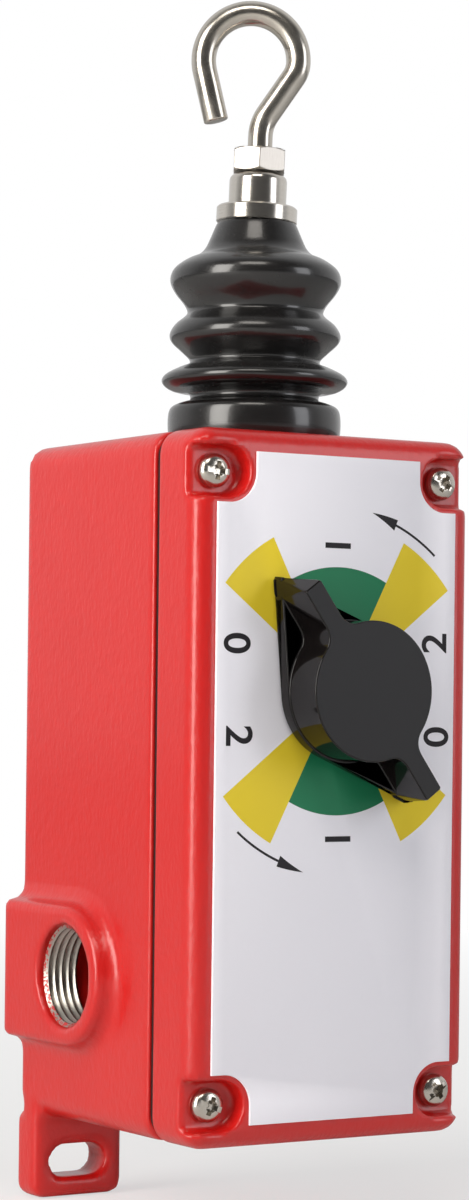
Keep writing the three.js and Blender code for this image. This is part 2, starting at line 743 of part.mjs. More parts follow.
// Bracket: a plate with two ears folded forward for the contact blocks and a seat folded back
function bracket() {
  const half = blockOuterX + earThickness;
  const sheet = block([-half, half], [plateFrontY, plateBackY], [plateBottom, plateTop]);
  const ears = sides.map((across) => {
    const x = [across * blockOuterX, across * half].sort((a, b) => a - b);
    const z = [dialHeight - blockHalfHeight, dialHeight + blockHalfHeight];
    return block(x, [blockFrontY, plateBackY], z);
  });
  const seatHalf = springRadius + springWire + 4;
  const seat = block([-seatHalf, seatHalf], [plateFrontY, rodY + seatHalf], [plateBottom, seatTop]);
  const blockHoles = blockScrewHeights.map((height) => {
    const at = [blockScrewDepth, dialHeight + height];
    return barX(blockScrewRadius + touchGap, -half - 1, half + 1, at, 10);
  });
  return cut(
    join(sheet, ...ears, seat),
    barY(journalRadius + touchGap, plateFrontY - 1, plateBackY + 1, [0, dialHeight]),
    barZ(rodRadius + touchGap, plateBottom - 1, seatTop + 1, [0, rodY]),
    ...postPlaces.map((at) => barY(postScrewRadius + touchGap, plateFrontY - 1, plateBackY + 1, at, 12)),
    ...blockHoles,
  );
}

const seatTop = plateBottom + plateThickness;

// Contact block: a moulded switch with a plunger hole, four terminal pockets and two fixing holes
function contactBlock(across, camMiddle) {
  const x = [across * blockInnerX, across * blockOuterX].sort((a, b) => a - b);
  const z = [dialHeight - blockHalfHeight, dialHeight + blockHalfHeight];
  const plungerHole = [across * (blockInnerX - 1), across * (blockInnerX + plungerBore)];
  plungerHole.sort((a, b) => a - b);
  const through = [x[0] - 1, x[1] + 1];
  const pockets = terminalPlaces(across).map(
    (at) => barY(terminalRadius + touchGap, blockFrontY - 1, blockFrontY + terminalPocket, at, 14),
  );
  return cut(
    block(x, [blockFrontY, blockBackY], z),
    barX(plungerRadius + touchGap, ...plungerHole, [camMiddle, dialHeight], 16),
    ...pockets,
    ...blockScrewHeights.map((height) => {
      const at = [blockScrewDepth, dialHeight + height];
      return barX(blockScrewRadius + touchGap, ...through, at, 10);
    }),
  );
}

function terminalPlaces(across) {
  const column = across * (blockInnerX + blockOuterX) / 2;
  return terminalHeights.map((height) => [column, dialHeight + height]);
}

function plunger(across, camMiddle, camRadius) {
  const tip = camRadius + touchGap;
  const tail = blockInnerX + plungerBore - plungerTravel - 2 * touchGap;
  const ends = [across * tip, across * tail].sort((a, b) => a - b);
  return barX(plungerRadius, ...ends, [camMiddle, dialHeight], 16);
}

// A cheese-head screw along X through a contact block into the bracket's ear
function blockScrew(across, height) {
  const shank = [across * blockInnerX, across * (blockOuterX + earThickness)].sort((a, b) => a - b);
  const head = [across * (blockInnerX - 1.6), across * blockInnerX].sort((a, b) => a - b);
  const at = [blockScrewDepth, dialHeight + height];
  return join(barX(blockScrewRadius, ...shank, at, 10), barX(2.3, ...head, at, 14));
}

function terminalScrew(at) {
  const head = barY(terminalRadius, blockFrontY + 0.4, blockFrontY + 2, at, 14);
  const shank = barY(terminalRadius * 0.6, blockFrontY + 1.9, blockFrontY + terminalPocket, at, 10);
  const slot = block(
    [at[0] - terminalRadius - 1, at[0] + terminalRadius + 1],
    [blockFrontY - 1, blockFrontY + 1.1],
    [at[1] - 0.35, at[1] + 0.35],
  );
  return cut(join(head, shank), slot);
}

// Guide bush: a flange on the box's top and a barrel through it, held by a nut inside
function guideBush() {
  const hole = rodRadius + touchGap;
  return turned([
    [hole, guideBottom], [guideBarrelRadius, guideBottom], [guideBarrelRadius, halfHeight],
    [guideFlangeRadius, halfHeight], [guideFlangeRadius, halfHeight + guideFlangeHeight],
    [hole, halfHeight + guideFlangeHeight], [hole, guideBottom],
  ]).translate(0, rodY, 0);
}

function guideNut() {
  const nut = hexagonNut(guideNutFlats, guideNutHeight, guideBarrelRadius + touchGap);
  return nut.translate(0, rodY, halfHeight - wall - guideNutHeight);
}

function rodWiper() {
  const low = halfHeight + guideFlangeHeight;
  return ring(rodRadius + touchGap, rodRadius + 3, low, low + 2).translate(0, rodY, 0);
}

// Pull rod: straight from the stop nut up to the stud that the ferrule screws on
const rodStudTop = ferruleBase + 2.6;
const rodStudBottom = rodBottom - washerThickness - stopNutHeight - 1.5;

function pullRod() {
  const shoulder = halfHeight + bootHeight - shoulderDrop;
  const rod = turned([
    [0, rodStudBottom], [rodStudRadius, rodStudBottom], [rodStudRadius, rodBottom],
    [rodRadius, rodBottom], [rodRadius, shoulder], [rodStudRadius, shoulder],
    [rodStudRadius, rodStudTop], [0, rodStudTop],
  ], 20).translate(0, rodY, 0);
  return cut(rod, rackPinBar(rackPinRadius + touchGap, 1));
}

function springWasher() {
  const outer = springRadius + springWire + 0.6;
  return ring(rodStudRadius + touchGap, outer, rodBottom - washerThickness, rodBottom).translate(0, rodY, 0);
}

function stopNut() {
  const nut = hexagonNut(8, stopNutHeight, rodStudRadius + touchGap);
  return nut.translate(0, rodY, rodBottom - washerThickness - stopNutHeight);
}

// Return spring: an open helix between the washer and the bracket's seat, with closed end turns
class SpringLine extends THREE.Curve {
  getPoint(share, target = new THREE.Vector3()) {
    const low = rodBottom + springWire;
    const high = plateBottom - touchGap - springWire;
    const flat = 0.1;
    const rise = THREE.MathUtils.clamp((share - flat) / (1 - 2 * flat), 0, 1);
    const lift = 2 * springWire + touchGap;
    const end = THREE.MathUtils.clamp(share / flat, 0, 1) - THREE.MathUtils.clamp((1 - share) / flat, 0, 1);
    const middle = low + lift + (high - low - 2 * lift) * rise;
    const angle = 2 * Math.PI * springTurns * share;
    return target.set(
      springRadius * Math.cos(angle),
      rodY + springRadius * Math.sin(angle),
      middle + lift * end,
    );
  }
}

function returnSpring() {
  const section = new THREE.Shape();
  section.absarc(0, 0, springWire, 0, 2 * Math.PI);
  const path = new SpringLine();
  return new THREE.ExtrudeGeometry(section, { steps: springTurns * 12, extrudePath: path, curveSegments: 3 });
}

// Boot: a rubber bellows with three folds between a foot cuff and a neck under the ferrule
const bootOutline = [
  [16.4, 0.3], [16.7, 3], [16.6, 6], [15.4, 7.3], [12.7, 7.9], [12.6, 9.3], [16.4, 10],
  [18, 11.6], [17.4, 13.4], [14, 14.9], [12.5, 15.8], [14.4, 17.7], [16.5, 20.6], [15.2, 23.2],
  [13.2, 25], [14.6, 27.6], [16.4, 31.4], [15.6, 33.8], [12.6, 35.6], [10.3, 36.8], [9.1, 38.7],
];
const bootDrawnHeight = 42.6;
const bootNeckRadius = 7.7;

function boot() {
  const stretch = bootHeight / bootDrawnHeight;
  const line = new THREE.SplineCurve(
    bootOutline.map(([radius, height]) => new THREE.Vector2(radius, height * stretch)),
  );
  const outer = line.getPoints(32);
  outer.push(new THREE.Vector2(bootNeckRadius, bootHeight));
  const bore = rodRadius + touchGap;
  const inner = [];
  const innerSteps = 12;
  for (let i = innerSteps; i >= 0; i -= 1) {
    const share = i / innerSteps;
    const at = line.getPoint(share);
    const along = line.getTangent(share);
    const radius = Math.max(bore, at.x - bootWall * along.y);
    inner.push(new THREE.Vector2(radius, Math.min(at.y + bootWall * along.x * 0.5, bootHeight - 5)));
  }
  const foot = inner.pop();
  foot.set(guideFlangeRadius + touchGap, outer[0].y);
  const profile = [...outer, new THREE.Vector2(bore, bootHeight), new THREE.Vector2(bore, bootHeight - 4.5)];
  const closed = [...profile, ...inner, foot, outer[0].clone()];
  const pairs = closed.map((point) => [point.x, point.y]);
  return turned(pairs, 24).translate(0, rodY, halfHeight);
}

// Ferrule, lock nut and hook share a group that leans a little, as the photographed ones do
const hookGroup = new THREE.Group();
hookGroup.position.set(0, rodY, ferruleBase);
hookGroup.rotation.set(0, THREE.MathUtils.degToRad(hookLean), THREE.MathUtils.degToRad(hookFacing), 'ZYX');
model.add(hookGroup);

const nutBase = flangeHeight + ferruleHeight + touchGap;
const shankBottom = flangeHeight + touchGap;

function ferrule() {
  const studHole = rodStudRadius + 2 * touchGap;
  const shankHole = wireRadius + touchGap;
  const top = flangeHeight + ferruleHeight;
  const chamfer = 0.7;
  return turned([
    [studHole, 0], [flangeRadius - 0.2, 0], [flangeRadius, 0.2], [flangeRadius, flangeHeight],
    [ferruleRadius, flangeHeight], [ferruleRadius, top - chamfer], [ferruleRadius - chamfer, top],
    [shankHole, top], [shankHole, flangeHeight], [studHole, flangeHeight], [studHole, 0],
  ], 24);
}

// Hook: a straight shank, a bend out to the loop's side, and the loop round to its free tip
class HookLine extends THREE.CurvePath {
  constructor() {
    super();
    const outward = THREE.MathUtils.degToRad(32);
    const bend = 8;
    const shankTop = loopRise - 14.5;
    const tight = 5.4;
    const tipAngle = THREE.MathUtils.degToRad(15.4);
    const tipLength = 10;
    const loop = new THREE.Vector2(loopAcross, loopRise);
    const tightCentre = new THREE.Vector2(loop.x + loopRadius - tight, loop.y);
    const bendEnd = new THREE.Vector2(bend * (1 - Math.cos(outward)), shankTop + bend * Math.sin(outward));
    const loopSide = new THREE.Vector2(
      tightCentre.x + tight * Math.cos(outward),
      tightCentre.y - tight * Math.sin(outward),
    );
    const loopEnd = new THREE.Vector2(
      loop.x - loopRadius * Math.cos(tipAngle),
      loop.y - loopRadius * Math.sin(tipAngle),
    );
    const tip = new THREE.Vector2(
      loopEnd.x + tipLength * Math.sin(tipAngle),
      loopEnd.y - tipLength * Math.cos(tipAngle),
    );
    const arc = (x, y, radius, from, to, backward) => (
      new THREE.EllipseCurve(x, y, radius, radius, from, to, backward, 0)
    );
    this.add(new THREE.LineCurve(new THREE.Vector2(0, shankBottom), new THREE.Vector2(0, shankTop)));
    this.add(arc(bend, shankTop, bend, Math.PI, Math.PI - outward, true));
    this.add(new THREE.LineCurve(bendEnd, loopSide));
    this.add(arc(tightCentre.x, tightCentre.y, tight, -outward, 0, false));
    this.add(arc(loop.x, loop.y, loopRadius, 0, Math.PI + tipAngle, false));
    this.add(new THREE.LineCurve(loopEnd, tip));
  }

  getPoint(share) {
    const flat = super.getPoint(share);
    return new THREE.Vector3(flat.x, 0, flat.y);
  }
}

function hook() {
  const section = new THREE.Shape();
  section.absarc(0, 0, wireRadius, 0, 2 * Math.PI);
  return new THREE.ExtrudeGeometry(section, { steps: 48, extrudePath: new HookLine(), curveSegments: 5 });
}

// Everything in place, from the box outwards
add('housing', housing(), redPaint);
add('lid_gasket', rimRing(gasketInset, gasketWidth, seamY + gasketDepth - touchGap, lidBackY), blackRubber);
add('lid', lid(), redPaint);
add('front_label', frontLabel(), whitePlate);
const lidScrewTurns = [20, -35, 5, 30];
const lidScrewLength = -recessFloorY + lidBackY + seamGap + screwGrip;
lidScrewPlaces.forEach(([x, z], index) => {
  const screw = panScrew(screwHeadRadius, screwHeadHeight, screwShankRadius, lidScrewLength, 16);
  screw.rotateY(THREE.MathUtils.degToRad(lidScrewTurns[index])).translate(x, recessFloorY, z);
  add(`lid_screw_${index + 1}`, screw, stainless);
});

add('spindle_bush', spindleBush(), brass);
add('spindle', spindle(), stainless);
add('spindle_seal', spindleSeal(), blackRubber);
add('knob', knob(), blackPlastic);
add('pinion', pinion(), zincSteel);
add('cam_back', cam(backCamY + camWidth, backCamY, Math.PI, true), greyPlastic);
add('cam_front', cam(frontCamY + camWidth, frontCamY, 0, false), greyPlastic);

add('guide_bush', guideBush(), brass);
add('guide_nut', guideNut(), zincSteel);
add('rod_wiper', rodWiper(), blackRubber);
add('pull_rod', pullRod(), stainless);
add('rack', rack(), zincSteel);
add('rack_pin', rackPinBar(rackPinRadius, 0), stainless);
add('spring_washer', springWasher(), zincSteel);
add('stop_nut', stopNut(), zincSteel);
add('return_spring', returnSpring(), stainless);
add('boot', boot(), blackRubber);
add('ferrule', ferrule(), stainless, hookGroup);
const lockNut = hexagonNut(nutFlats, nutHeight, wireRadius + touchGap);
lockNut.rotateZ(Math.PI / 6).translate(0, 0, nutBase);
add('lock_nut', lockNut, stainless, hookGroup);
add('hook', hook(), stainless, hookGroup);

add('bracket', bracket(), zincSteel);
postPlaces.forEach(([x, z], index) => {
  const length = plateThickness + postScrewGrip;
  const screw = panScrew(3.4, 2.2, postScrewRadius, length).translate(x, plateFrontY, z);
  add(`bracket_screw_${index + 1}`, screw, zincSteel);
});
const earthScrew = panScrew(3.4, 2.2, postScrewRadius, earthPostHeight - 2);
add('earth_screw', earthScrew.translate(earthAcross, -wall - earthPostHeight, earthHeight), brass);

const camMiddles = [backCamY + camWidth / 2, frontCamY + camWidth / 2];
const camRadii = [camLow, camLow + plungerTravel];
sides.forEach((across, index) => {
  const side = index === 0 ? 'left' : 'right';
  add(`contact_block_${side}`, contactBlock(across, camMiddles[index]), blackPlastic);
  add(`plunger_${side}`, plunger(across, camMiddles[index], camRadii[index]), whitePlate);
  blockScrewHeights.forEach((height, screw) => {
    add(`block_screw_${side}_${screw + 1}`, blockScrew(across, height), zincSteel);
  });
  terminalPlaces(across).forEach((at, terminal) => {
    add(`terminal_${side}_${terminal + 1}`, terminalScrew(at), brass);
  });
});

export default model;
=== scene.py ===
"""A rope pull switch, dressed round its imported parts: a red powder-coated box with a printed dial
plate and a black knob, a rubber bellows and a stainless rope hook."""

import math

import bmesh
import bpy
from mathutils import Matrix, Vector


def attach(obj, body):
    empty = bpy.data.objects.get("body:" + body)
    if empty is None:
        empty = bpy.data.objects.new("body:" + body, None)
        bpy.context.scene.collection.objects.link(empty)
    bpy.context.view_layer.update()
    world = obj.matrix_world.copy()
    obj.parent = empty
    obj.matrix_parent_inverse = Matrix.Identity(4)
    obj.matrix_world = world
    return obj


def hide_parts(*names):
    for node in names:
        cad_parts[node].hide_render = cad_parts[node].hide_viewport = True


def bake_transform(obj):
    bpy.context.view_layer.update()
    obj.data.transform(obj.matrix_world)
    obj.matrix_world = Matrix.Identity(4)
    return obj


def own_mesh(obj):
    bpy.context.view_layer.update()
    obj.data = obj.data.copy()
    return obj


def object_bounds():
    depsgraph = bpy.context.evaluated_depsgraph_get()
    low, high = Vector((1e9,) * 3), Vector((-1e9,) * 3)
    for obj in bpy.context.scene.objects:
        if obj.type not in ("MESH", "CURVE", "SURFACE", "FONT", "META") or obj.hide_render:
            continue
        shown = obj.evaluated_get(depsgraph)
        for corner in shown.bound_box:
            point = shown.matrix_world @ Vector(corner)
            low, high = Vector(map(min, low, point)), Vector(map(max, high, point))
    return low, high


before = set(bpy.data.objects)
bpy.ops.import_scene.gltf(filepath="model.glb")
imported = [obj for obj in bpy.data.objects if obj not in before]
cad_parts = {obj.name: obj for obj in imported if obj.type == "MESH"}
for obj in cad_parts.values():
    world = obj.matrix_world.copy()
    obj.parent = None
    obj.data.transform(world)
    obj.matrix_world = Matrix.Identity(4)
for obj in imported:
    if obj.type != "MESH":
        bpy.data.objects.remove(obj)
cad_low, cad_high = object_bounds()
MM = 0.001


# The view: a product shot from the front left at mid-height with a long lens.
# The photo's frame is 469 x 1200, and the lens axis lies below and left of its middle.
photo_width, photo_height = 469, 1200
focal_pixels = 3084.2
axis_pixel = Vector((220.46, 706.92))
heading = math.radians(32.11)
roll = math.radians(0.671)
eye = Vector((-0.3236, -0.5396, 0.01484))
forward = Vector((math.sin(heading), math.cos(heading), 0))
level = Vector((math.cos(heading), -math.sin(heading), 0))
upright = Vector((0, 0, 1))
lens_right = level * math.cos(roll) + upright * math.sin(roll)
lens_up = upright * math.cos(roll) - level * math.sin(roll)
lens = bpy.data.cameras.new("camera")
lens.lens = lens.sensor_width * focal_pixels / photo_height
lens.shift_x = (photo_width / 2 - axis_pixel.x) / photo_height
lens.shift_y = (axis_pixel.y - photo_height / 2) / photo_height
camera = bpy.data.objects.new("camera", lens)
camera.matrix_world = Matrix.Translation(eye) @ Matrix((lens_right, lens_up, -forward)).transposed().to_4x4()
bpy.context.scene.collection.objects.link(camera)
bpy.context.scene.camera = camera
bpy.context.scene.view_settings.view_transform = "Standard"


# The lamps: a broad panel at the left lights the box's side, a softer one at the front right lights
# the plate, and one above the camera puts the long highlights on the rubber.
switch_middle = Vector((0, -0.03, 0.03))


def lamp(name, place, width, height, watts, colour):
    light = bpy.data.lights.new(name, "AREA")
    light.shape = "RECTANGLE"
    light.size = width
    light.size_y = height
    light.energy = watts
    light.color = colour
    panel = bpy.data.objects.new(name, light)
    aim = switch_middle - Vector(place)
    panel.matrix_world = Matrix.Translation(place) @ aim.to_track_quat("-Z", "Y").to_matrix().to_4x4()
    bpy.context.scene.collection.objects.link(panel)


lamp("left_panel", (-1.25, -0.25, 0.35), 0.6, 1.3, 21, (1, 0.97, 0.92))
lamp("front_panel", (0.75, -1.15, 0.35), 0.5, 0.8, 4.5, (0.95, 0.96, 1))
lamp("top_panel", (-0.55, -0.75, 1.15), 0.7, 0.4, 5, (1, 0.95, 0.88))


# Every finish is built with these two: a wire is one socket whose arithmetic adds Math nodes, and a
# finish is a material whose other nodes come one at a time from its add method.
class Wire:
    def __init__(self, finish, socket):
        self.finish = finish
        self.socket = socket

    def math(self, operation, *values):
        return self.finish.add("ShaderNodeMath", {"operation": operation}, dict(enumerate(values)))

    def __add__(self, other):
        return self.math("ADD", self, other)

    def __sub__(self, other):
        return self.math("SUBTRACT", self, other)

    def __rsub__(self, other):
        return self.math("SUBTRACT", other, self)

    def __mul__(self, other):
        return self.math("MULTIPLY", self, other)

    def __truediv__(self, other):
        return self.math("DIVIDE", self, other)

    def __pow__(self, other):
        return self.math("POWER", self, other)

    def __lt__(self, other):
        return self.math("LESS_THAN", self, other)

    def __gt__(self, other):
        return self.math("GREATER_THAN", self, other)

    def __abs__(self):
        return self.math("ABSOLUTE", self)

    __radd__ = __add__
    __rmul__ = __mul__


class Finish:
    def __init__(self, name, **sockets):
        self.material = bpy.data.materials.new(name)
        self.material.use_nodes = True
        self.tree = self.material.node_tree
        self.shader = self.tree.nodes["Principled BSDF"]
        for socket, value in sockets.items():
            self.put(socket.replace("_", " ").title().replace("Ior", "IOR"), value)

    def put(self, socket, value):
        self.fill(self.shader, socket, value)

    def fill(self, node, socket, value):
        if isinstance(value, Wire):
            self.tree.links.new(value.socket, node.inputs[socket])
        else:
            node.inputs[socket].default_value = value

    def add(self, kind, settings=None, values=None, output=0):
        node = self.tree.nodes.new(kind)
        for name, value in (settings or {}).items():
            setattr(node, name, value)
        for socket, value in (values or {}).items():
            self.fill(node, socket, value)
        return Wire(self, node.outputs[output])

    def place(self, stretch=(1, 1, 1)):
        spot = self.add("ShaderNodeTexCoord", output="Object")
        return self.add("ShaderNodeMapping", values={"Vector": spot, "Scale": stretch})

    def noise(self, size, detail=2, stretch=(1, 1, 1)):
        values = {"Vector": self.place(stretch), "Scale": 1 / size, "Detail": detail}
        return self.add("ShaderNodeTexNoise", values=values)

    def mixed(self, share, first, second):
        values = {0: share, 6: first, 7: second}
        return self.add("ShaderNodeMix", {"data_type": "RGBA"}, values, 2)

    def bumps(self, height, depth, strength=1.0):
        values = {"Height": height, "Distance": depth, "Strength": strength}
        self.put("Normal", self.add("ShaderNodeBump", values=values))


# The floor: a pale seamless plane that the switch stands over, lit white for the camera, more so away
# from the switch, while it still takes the soft shadow. The world gives the same white and a dim fill.
floor_height = cad_low.z - 0.2 * MM
floor_shape = bmesh.new()
bmesh.ops.create_grid(floor_shape, x_segments=1, y_segments=1, size=4)
bmesh.ops.translate(floor_shape, verts=floor_shape.verts, vec=(0, 0, floor_height))
floor_mesh = bpy.data.meshes.new("floor")
floor_shape.to_mesh(floor_mesh)
floor_shape.free()
floor = bpy.data.objects.new("floor", floor_mesh)
bpy.context.scene.collection.objects.link(floor)
paper = Finish("white_paper", base_color=(0.86, 0.86, 0.86, 1), roughness=0.9)
seen = paper.add("ShaderNodeLightPath", output="Is Camera Ray")
glow = paper.add("ShaderNodeEmission", values={"Color": (1, 1, 1, 1), "Strength": 1.0})
lit = Wire(paper, paper.shader.outputs[0])
away = paper.add("ShaderNodeVectorMath", {"operation": "LENGTH"}, {0: paper.place()}, "Value")
whitened = paper.add("ShaderNodeMapRange", values={
    "Value": away, "From Min": 0.1, "From Max": 0.75, "To Min": 0.6, "To Max": 1.0})
both = paper.add("ShaderNodeMixShader", values={0: seen * whitened, 1: lit, 2: glow})
paper.tree.links.new(both.socket, paper.tree.nodes["Material Output"].inputs["Surface"])
floor_mesh.materials.append(paper.material)

world = bpy.data.worlds.new("studio")
world.use_nodes = True
bpy.context.scene.world = world
sky = Finish("studio_parts")
sky.tree = world.node_tree
straight = sky.add("ShaderNodeLightPath", output="Is Camera Ray")
glossy = sky.add("ShaderNodeLightPath", output="Is Glossy Ray")
through = sky.add("ShaderNodeLightPath", output="Is Transmission Ray")
toward = sky.add("ShaderNodeTexCoord", output="Generated")
depth = sky.add("ShaderNodeVectorMath", {"operation": "DOT_PRODUCT"}, {0: toward, 1: forward}, "Value")
behind = sky.add("ShaderNodeMapRange", values={
    "Value": depth, "From Min": -0.35, "From Max": 0.25, "To Min": 0.08, "To Max": 0.8})
fill = 0.17
strength = straight + through + glossy * behind + (1 - straight - through - glossy) * fill
backdrop = world.node_tree.nodes["Background"]
backdrop.inputs["Color"].default_value = (1, 1, 1, 1)
world.node_tree.links.new(strength.socket, backdrop.inputs["Strength"])
bpy.data.materials.remove(sky.material)


# Housing: one red die-cast box, open at the front, with its two lugs, its conduit boss and its inner
# posts. The casting is blasted and powder coated, which rounds every edge and leaves a fine orange peel.
touching = 4e-6


def joined(node):
    """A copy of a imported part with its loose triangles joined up."""
    shape = bmesh.new()
    shape.from_mesh(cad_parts[node].data)
    bmesh.ops.remove_doubles(shape, verts=shape.verts, dist=touching)
    return shape


def made(shape, name, body, finish, stands_for=(), rounding=0.0, crease=35):
    """Turns a shape into a finished piece that moves with its body. A crease is in degrees."""
    mesh = bpy.data.meshes.new(name)
    shape.to_mesh(mesh)
    shape.free()
    mesh.polygons.foreach_set("use_smooth", [True] * len(mesh.polygons))
    mesh.set_sharp_from_angle(angle=math.radians(crease))
    mesh.materials.append(finish.material)
    piece = bpy.data.objects.new(name, mesh)
    bpy.context.scene.collection.objects.link(piece)
    if rounding:
        edge = piece.modifiers.new("rounding", "BEVEL")
        edge.width = rounding
        edge.segments = 3
        edge.limit_method = "ANGLE"
        edge.angle_limit = math.radians(crease)
        edge.use_clamp_overlap = False
        edge.miter_outer = "MITER_ARC"
        piece.modifiers.new("even_shading", "WEIGHTED_NORMAL")
    if body:
        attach(piece, body)
    if stands_for:
        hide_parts(*stands_for)
    return piece


powder_red = Finish("red_powder_coat", roughness=0.36, coat_weight=0.3, coat_roughness=0.12)
drift = powder_red.noise(22 * MM, 3)
powder_red.put("Base Color", powder_red.mixed(drift, (0.53, 0.006, 0.005, 1), (0.58, 0.009, 0.007, 1)))
peel = powder_red.noise(0.9 * MM, 2, (1, 1, 0.5))
waves = powder_red.noise(2.4 * MM, 1)
powder_red.bumps(peel * 0.6 + waves * 0.4, 0.22 * MM, 0.8)


def melted(piece, grain, passes):
    """Rounds every edge of a casting as its thick coat does."""
    coat = piece.modifiers.new("coat", "REMESH")
    coat.mode = "VOXEL"
    coat.voxel_size = grain
    coat.use_smooth_shade = True
    soft = piece.modifiers.new("soft_edges", "SMOOTH")
    soft.factor = 0.5
    soft.iterations = passes


casting = made(joined("housing"), "housing_casting", "housing", powder_red, ["housing"])
melted(casting, 0.85 * MM, 2)


# Conduit thread: five turns of M20 x 1.5, cut through the boss after coating, so it is bare metal with
# a little red left on its first turn.
thread_pitch = 1.5 * MM
thread_root = 9.9 * MM
thread_crest = 9.2 * MM
thread_turns = 5
thread_start = -34.7 * MM
entry_centre = Vector((0, -23.8 * MM, -37 * MM))
thread_steps = 72
painted_turns = 1.1
same_point = 1e-6
bare_cut = Finish("bare_cut_metal", roughness=0.33, metallic=1.0)
paint_left = bare_cut.noise(0.5 * MM, 3)
inward = bare_cut.add("ShaderNodeSeparateXYZ", values={0: bare_cut.place()}, output="X")
first_turn = inward < (thread_start + painted_turns * thread_pitch)
red_left = (paint_left > 0.5) * first_turn
bare_cut.put("Base Color", bare_cut.mixed(red_left, (0.42, 0.40, 0.36, 1), (0.5, 0.02, 0.02, 1)))
bare_cut.put("Metallic", 1 - red_left)
bare_cut.bumps(bare_cut.noise(0.12 * MM, 2, (6, 1, 1)), 0.02 * MM, 0.5)
thread = bmesh.new()
ridge = [(0.0, thread_root), (0.42, thread_crest), (0.58, thread_crest), (1.0, thread_root)]
profile = [thread.verts.new((thread_start + along * thread_pitch, 0, radius)) for along, radius in ridge]
edges = [thread.edges.new(pair) for pair in zip(profile, profile[1:])]
bmesh.ops.spin(
    thread,
    geom=[*profile, *edges],
    cent=(0, 0, 0),
    axis=(1, 0, 0),
    dvec=(thread_pitch / thread_steps, 0, 0),
    angle=2 * math.pi * thread_turns,
    steps=thread_steps * thread_turns,
)
bmesh.ops.remove_doubles(thread, verts=thread.verts, dist=same_point)
bmesh.ops.translate(thread, verts=thread.verts, vec=entry_centre)
bmesh.ops.recalc_face_normals(thread, faces=thread.faces)
made(thread, "conduit_thread", "housing", bare_cut)


# Gasket and seals: a ring of black rubber cord that lies in the groove of the body's rim, under the lid,
# and smaller rings round the spindle and the pull rod.
moulded_rubber = Finish("sealing_rubber", roughness=0.55)
moulded_rubber.put("Base Color", moulded_rubber.mixed(
    moulded_rubber.noise(3 * MM), (0.012, 0.012, 0.012, 1), (0.022, 0.021, 0.021, 1)))
moulded_rubber.bumps(moulded_rubber.noise(0.3 * MM), 0.03 * MM, 0.4)


def carried(finish, *nodes):
    """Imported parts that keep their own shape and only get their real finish."""
    for node in nodes:
        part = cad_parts[node]
        part.data.materials.clear()
        part.data.materials.append(finish.material)


carried(moulded_rubber, "lid_gasket", "spindle_seal", "rod_wiper")


# Lid: a second red casting, screwed over the body with a hairline seam between them. Its four screw
# recesses open through its sides, and all its rims are well rounded by the coating.
lid = made(joined("lid"), "lid_casting", "housing", powder_red, ["lid"])
melted(lid, 0.62 * MM, 4)


# Lid screws: stainless pan heads with a cross recess on a shallow slot, turned from bar and driven into
# the box's pillars. Each one stopped at its own angle.
stainless = Finish("stainless_steel", metallic=1.0)
pits = stainless.noise(0.35 * MM, 4)
grain = stainless.noise(2.5 * MM, 2)
stainless.put("Base Color", stainless.mixed(grain, (0.50, 0.46, 0.40, 1), (0.62, 0.585, 0.53, 1)))
stainless.put("Roughness", 0.16 + grain * 0.14)
stainless.bumps(pits, 0.015 * MM, 0.5)

screw_spots = {1: (-25.5, -58, 20), 2: (25.5, -58, -35), 3: (-25.5, 58, 5), 4: (25.5, 58, 30)}
recess_floor = -60.7 * MM
head_radius = 3.2 * MM
head_height = 2.4 * MM
shank_radius = 1.7 * MM
shank_length = 18.4 * MM
head_steps = 48
head_profile = [
    (0.97, 0), (1, 0.1), (1, 0.42), (0.95, 0.6), (0.84, 0.78), (0.66, 0.91), (0.4, 0.98), (0, 1),
]
middle_low = 0.4 * MM
middle_high = 1.1 * MM
middle_length = 2 * MM
middle_depth = 1.6 * MM
# Each cut is a block's size, its depth in the head and its turn in degrees.
cross_cuts = [
    ((7 * MM, 1.1 * MM), 0.5 * MM, 0),
    ((3.5 * MM, 1.0 * MM), 1.5 * MM, 0),
    ((1.0 * MM, 3.5 * MM), 1.5 * MM, 0),
    ((2.4 * MM, 0.6 * MM), 0.9 * MM, 45),
    ((2.4 * MM, 0.6 * MM), 0.9 * MM, -45),
]


def turned_down(shape, corners, steps):
    """Spins a line of (radius, height) corners once round the upright axis and closes it."""
    line = [shape.verts.new((radius, 0, height)) for radius, height in corners]
    edges = [shape.edges.new(pair) for pair in zip(line, line[1:])]
    bmesh.ops.spin(shape, geom=[*line, *edges], cent=(0, 0, 0), axis=(0, 0, 1), angle=2 * math.pi,
                   steps=steps, use_merge=True)
    bmesh.ops.remove_doubles(shape, verts=shape.verts, dist=1e-7)
    bmesh.ops.recalc_face_normals(shape, faces=shape.faces)


def carved(shape, tool, operation="DIFFERENCE"):
    """Cuts one shape with another, or joins or crosses them, and gives the result as a new shape."""
    pieces = []
    for part in (shape, tool):
        mesh = bpy.data.meshes.new("carving")
        part.to_mesh(mesh)
        part.free()
        pieces.append(bpy.data.objects.new("carving", mesh))
        bpy.context.scene.collection.objects.link(pieces[-1])
    cut = pieces[0].modifiers.new("cut", "BOOLEAN")
    cut.object = pieces[1]
    cut.operation = operation
    cut.solver = "EXACT"
    bpy.context.view_layer.update()
    result = bpy.data.meshes.new_from_object(pieces[0].evaluated_get(bpy.context.evaluated_depsgraph_get()))
    whole = bmesh.new()
    whole.from_mesh(result)
    bmesh.ops.remove_doubles(whole, verts=whole.verts, dist=2e-7)
    bpy.data.meshes.remove(result)
    for piece in pieces:
        mesh = piece.data
        bpy.data.objects.remove(piece)
        bpy.data.meshes.remove(mesh)
    return whole


